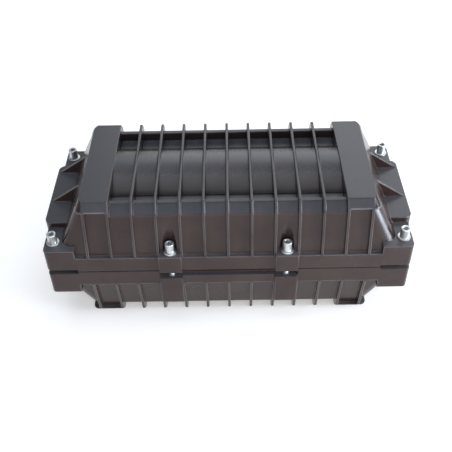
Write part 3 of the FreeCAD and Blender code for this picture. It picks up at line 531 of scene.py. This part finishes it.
def add_screws():
    """Screws with real threads, sockets and chamfers in the places of the plain CAD ones."""
    for node, body, shape, head, turned in (
        ("corner_screws", "cover", cap_screw, CAP_HEAD, 0.9),
        ("side_screws", "cover", cap_screw, CAP_HEAD, 1.3),
        ("bracket_screws", "base", small_screw, SMALL_HEAD, 0.0),
        ("tray_screws", "base", small_screw, SMALL_HEAD, 0.0),
        ("clamp_screws", "base", small_screw, SMALL_HEAD, 0.0),
        ("anchor_screws", "base", small_screw, SMALL_HEAD, 0.0),
    ):
        points, faces = [], []
        for number, (low, high) in enumerate(solid_boxes(node)):
            length = (high.z - low.z) / MM - head
            screw = shape(length)
            middle = (low + high) / 2
            place = Matrix.Translation((middle.x, middle.y, low.z + length * MM))
            place = place @ Matrix.Rotation(turned * number, 4, "Z") @ Matrix.Scale(MM, 4)
            faces += [[index + len(points) for index in face] for face in screw.faces]
            points += [place @ Vector(point) for point in screw.points]
        mesh = bpy.data.meshes.new(f"threaded_{node}")
        mesh.from_pydata(points, [], faces)
        mesh.shade_smooth()
        mesh.set_sharp_from_angle(angle=SCREW_FACET)
        mesh.materials.append(nodes[node].data.materials[0])
        piece = bpy.data.objects.new(f"threaded_{node}", mesh)
        bpy.context.scene.collection.objects.link(piece)
        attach(piece, body)
        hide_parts(node)


def add_camera():
    """The photograph's viewpoint."""
    level = Vector((math.sin(YAW), -math.cos(YAW), 0.0))
    back = math.cos(ELEVATION) * level + math.sin(ELEVATION) * Vector((0.0, 0.0, 1.0))
    right = Vector((math.cos(YAW), math.sin(YAW), 0.0))
    above = back.cross(right)
    across = math.cos(ROLL) * right + math.sin(ROLL) * above
    upright = math.cos(ROLL) * above - math.sin(ROLL) * right
    camera = bpy.data.objects.new("camera", bpy.data.cameras.new("camera"))
    camera.data.sensor_fit = "HORIZONTAL"
    camera.data.sensor_width = 36.0
    camera.data.lens = FOCAL_PIXELS * camera.data.sensor_width / IMAGE
    camera.data.clip_end = 100.0
    turn = Matrix((across, upright, back)).transposed().to_4x4()
    camera.matrix_world = Matrix.Translation(AIM + back * DISTANCE) @ turn
    bpy.context.scene.collection.objects.link(camera)
    bpy.context.scene.camera = camera


def add_surround():
    """A world that is white near the horizon and a soft grey blue above."""
    world = bpy.data.worlds.new("surround")
    world.use_nodes = True
    tree = world.node_tree
    height = tree.nodes.new("ShaderNodeSeparateXYZ")
    tree.links.new(tree.nodes.new("ShaderNodeTexCoord").outputs["Generated"], height.inputs[0])
    fade = tree.nodes.new("ShaderNodeValToRGB")
    white, sky = fade.color_ramp.elements
    white.position, white.color = 0.06, (1.0, 1.0, 1.0, 1.0)
    sky.position, sky.color = 0.45, (0.22, 0.25, 0.30, 1.0)
    tree.links.new(height.outputs["Z"], fade.inputs["Fac"])
    tree.links.new(fade.outputs["Color"], tree.nodes["Background"].inputs["Color"])
    bpy.context.scene.world = world


def white_paper():
    """Pale paper that camera, mirror and glass rays see whiter, the more so the further out."""
    shader = Shader("paper")
    tone = shader.ramp(shader.noise(3, detail=3), 0.3, 0.7)
    shader.set(Base_Color=shader.mix(tone, (0.87, 0.855, 0.835), (0.89, 0.875, 0.855)), Roughness=0.9)
    lit = shader.surface.outputs[0]
    reach = shader.node("VectorMath", {0: shader.place}, operation="LENGTH").outputs["Value"]
    strength = shader.span(shader.ramp(reach, 0.5, 3.0), 0.36, 1.0)
    glow = shader.node("Emission", {"Color": (1.0, 0.975, 0.945, 1.0), "Strength": strength}).outputs[0]
    whiter = shader.node("AddShader", {0: lit, 1: glow}).outputs[0]
    path = shader.node("LightPath").outputs
    seen = path["Is Camera Ray"]
    for ray in ("Is Glossy Ray", "Is Transmission Ray"):
        seen = shader.compute("MAXIMUM", seen, path[ray])
    paper = shader.node("MixShader", {0: seen, 1: lit, 2: whiter}).outputs[0]
    shader.feed(shader.tree.nodes["Material Output"].inputs["Surface"], paper)
    return shader.material


def add_floor():
    """A wide paper floor just below the object."""
    corners = [(-1, -1), (1, -1), (1, 1), (-1, 1)]
    mesh = bpy.data.meshes.new("floor")
    mesh.from_pydata([(x * FLOOR_REACH, y * FLOOR_REACH, 0.0) for x, y in corners], [], [(0, 1, 2, 3)])
    mesh.materials.append(white_paper())
    floor = bpy.data.objects.new("floor", mesh)
    floor.location.z = -FLOOR_GAP
    bpy.context.scene.collection.objects.link(floor)


def add_lamps():
    """Soft lamps; the one named gleam shows only as a reflection on the corner at the right."""
    for name, place, size, energy, colour in (
        ("back", (0.4, 1.30, 0.95), (1.6, 1.0), 9.0, (0.94, 0.97, 1.0)),
        ("overhead", (0.0, -0.05, 1.4), (1.4, 0.9), 7.0, (0.86, 0.93, 1.0)),
        ("right", (1.05, -0.45, 0.36), (0.4, 0.7), 13.0, (0.88, 0.93, 1.0)),
        ("gleam", (1.05, -0.47, 0.36), (0.7, 0.8), 22.0, (0.62, 0.80, 1.0)),
        ("behind", (0.0, -1.2, 1.35), (1.4, 0.20), 4.2, (0.52, 0.76, 1.0)),
        ("front", (0.2, -1.6, 0.38), (1.8, 0.72), 10.5, (1.0, 0.78, 0.69)),
    ):
        lamp = bpy.data.lights.new(name, "AREA")
        lamp.shape = "RECTANGLE"
        lamp.size, lamp.size_y = size
        lamp.energy = energy
        lamp.color = colour
        holder = bpy.data.objects.new(name, lamp)
        holder.location = place
        holder.visible_camera = False
        holder.visible_diffuse = name != "gleam"
        holder.rotation_euler = (LAMP_TARGET - Vector(place)).to_track_quat("-Z", "Y").to_euler()
        bpy.context.scene.collection.objects.link(holder)


bpy.context.scene.view_settings.view_transform = "Standard"
dress_nodes()
add_screws()
add_camera()
add_surround()
add_floor()
add_lamps()
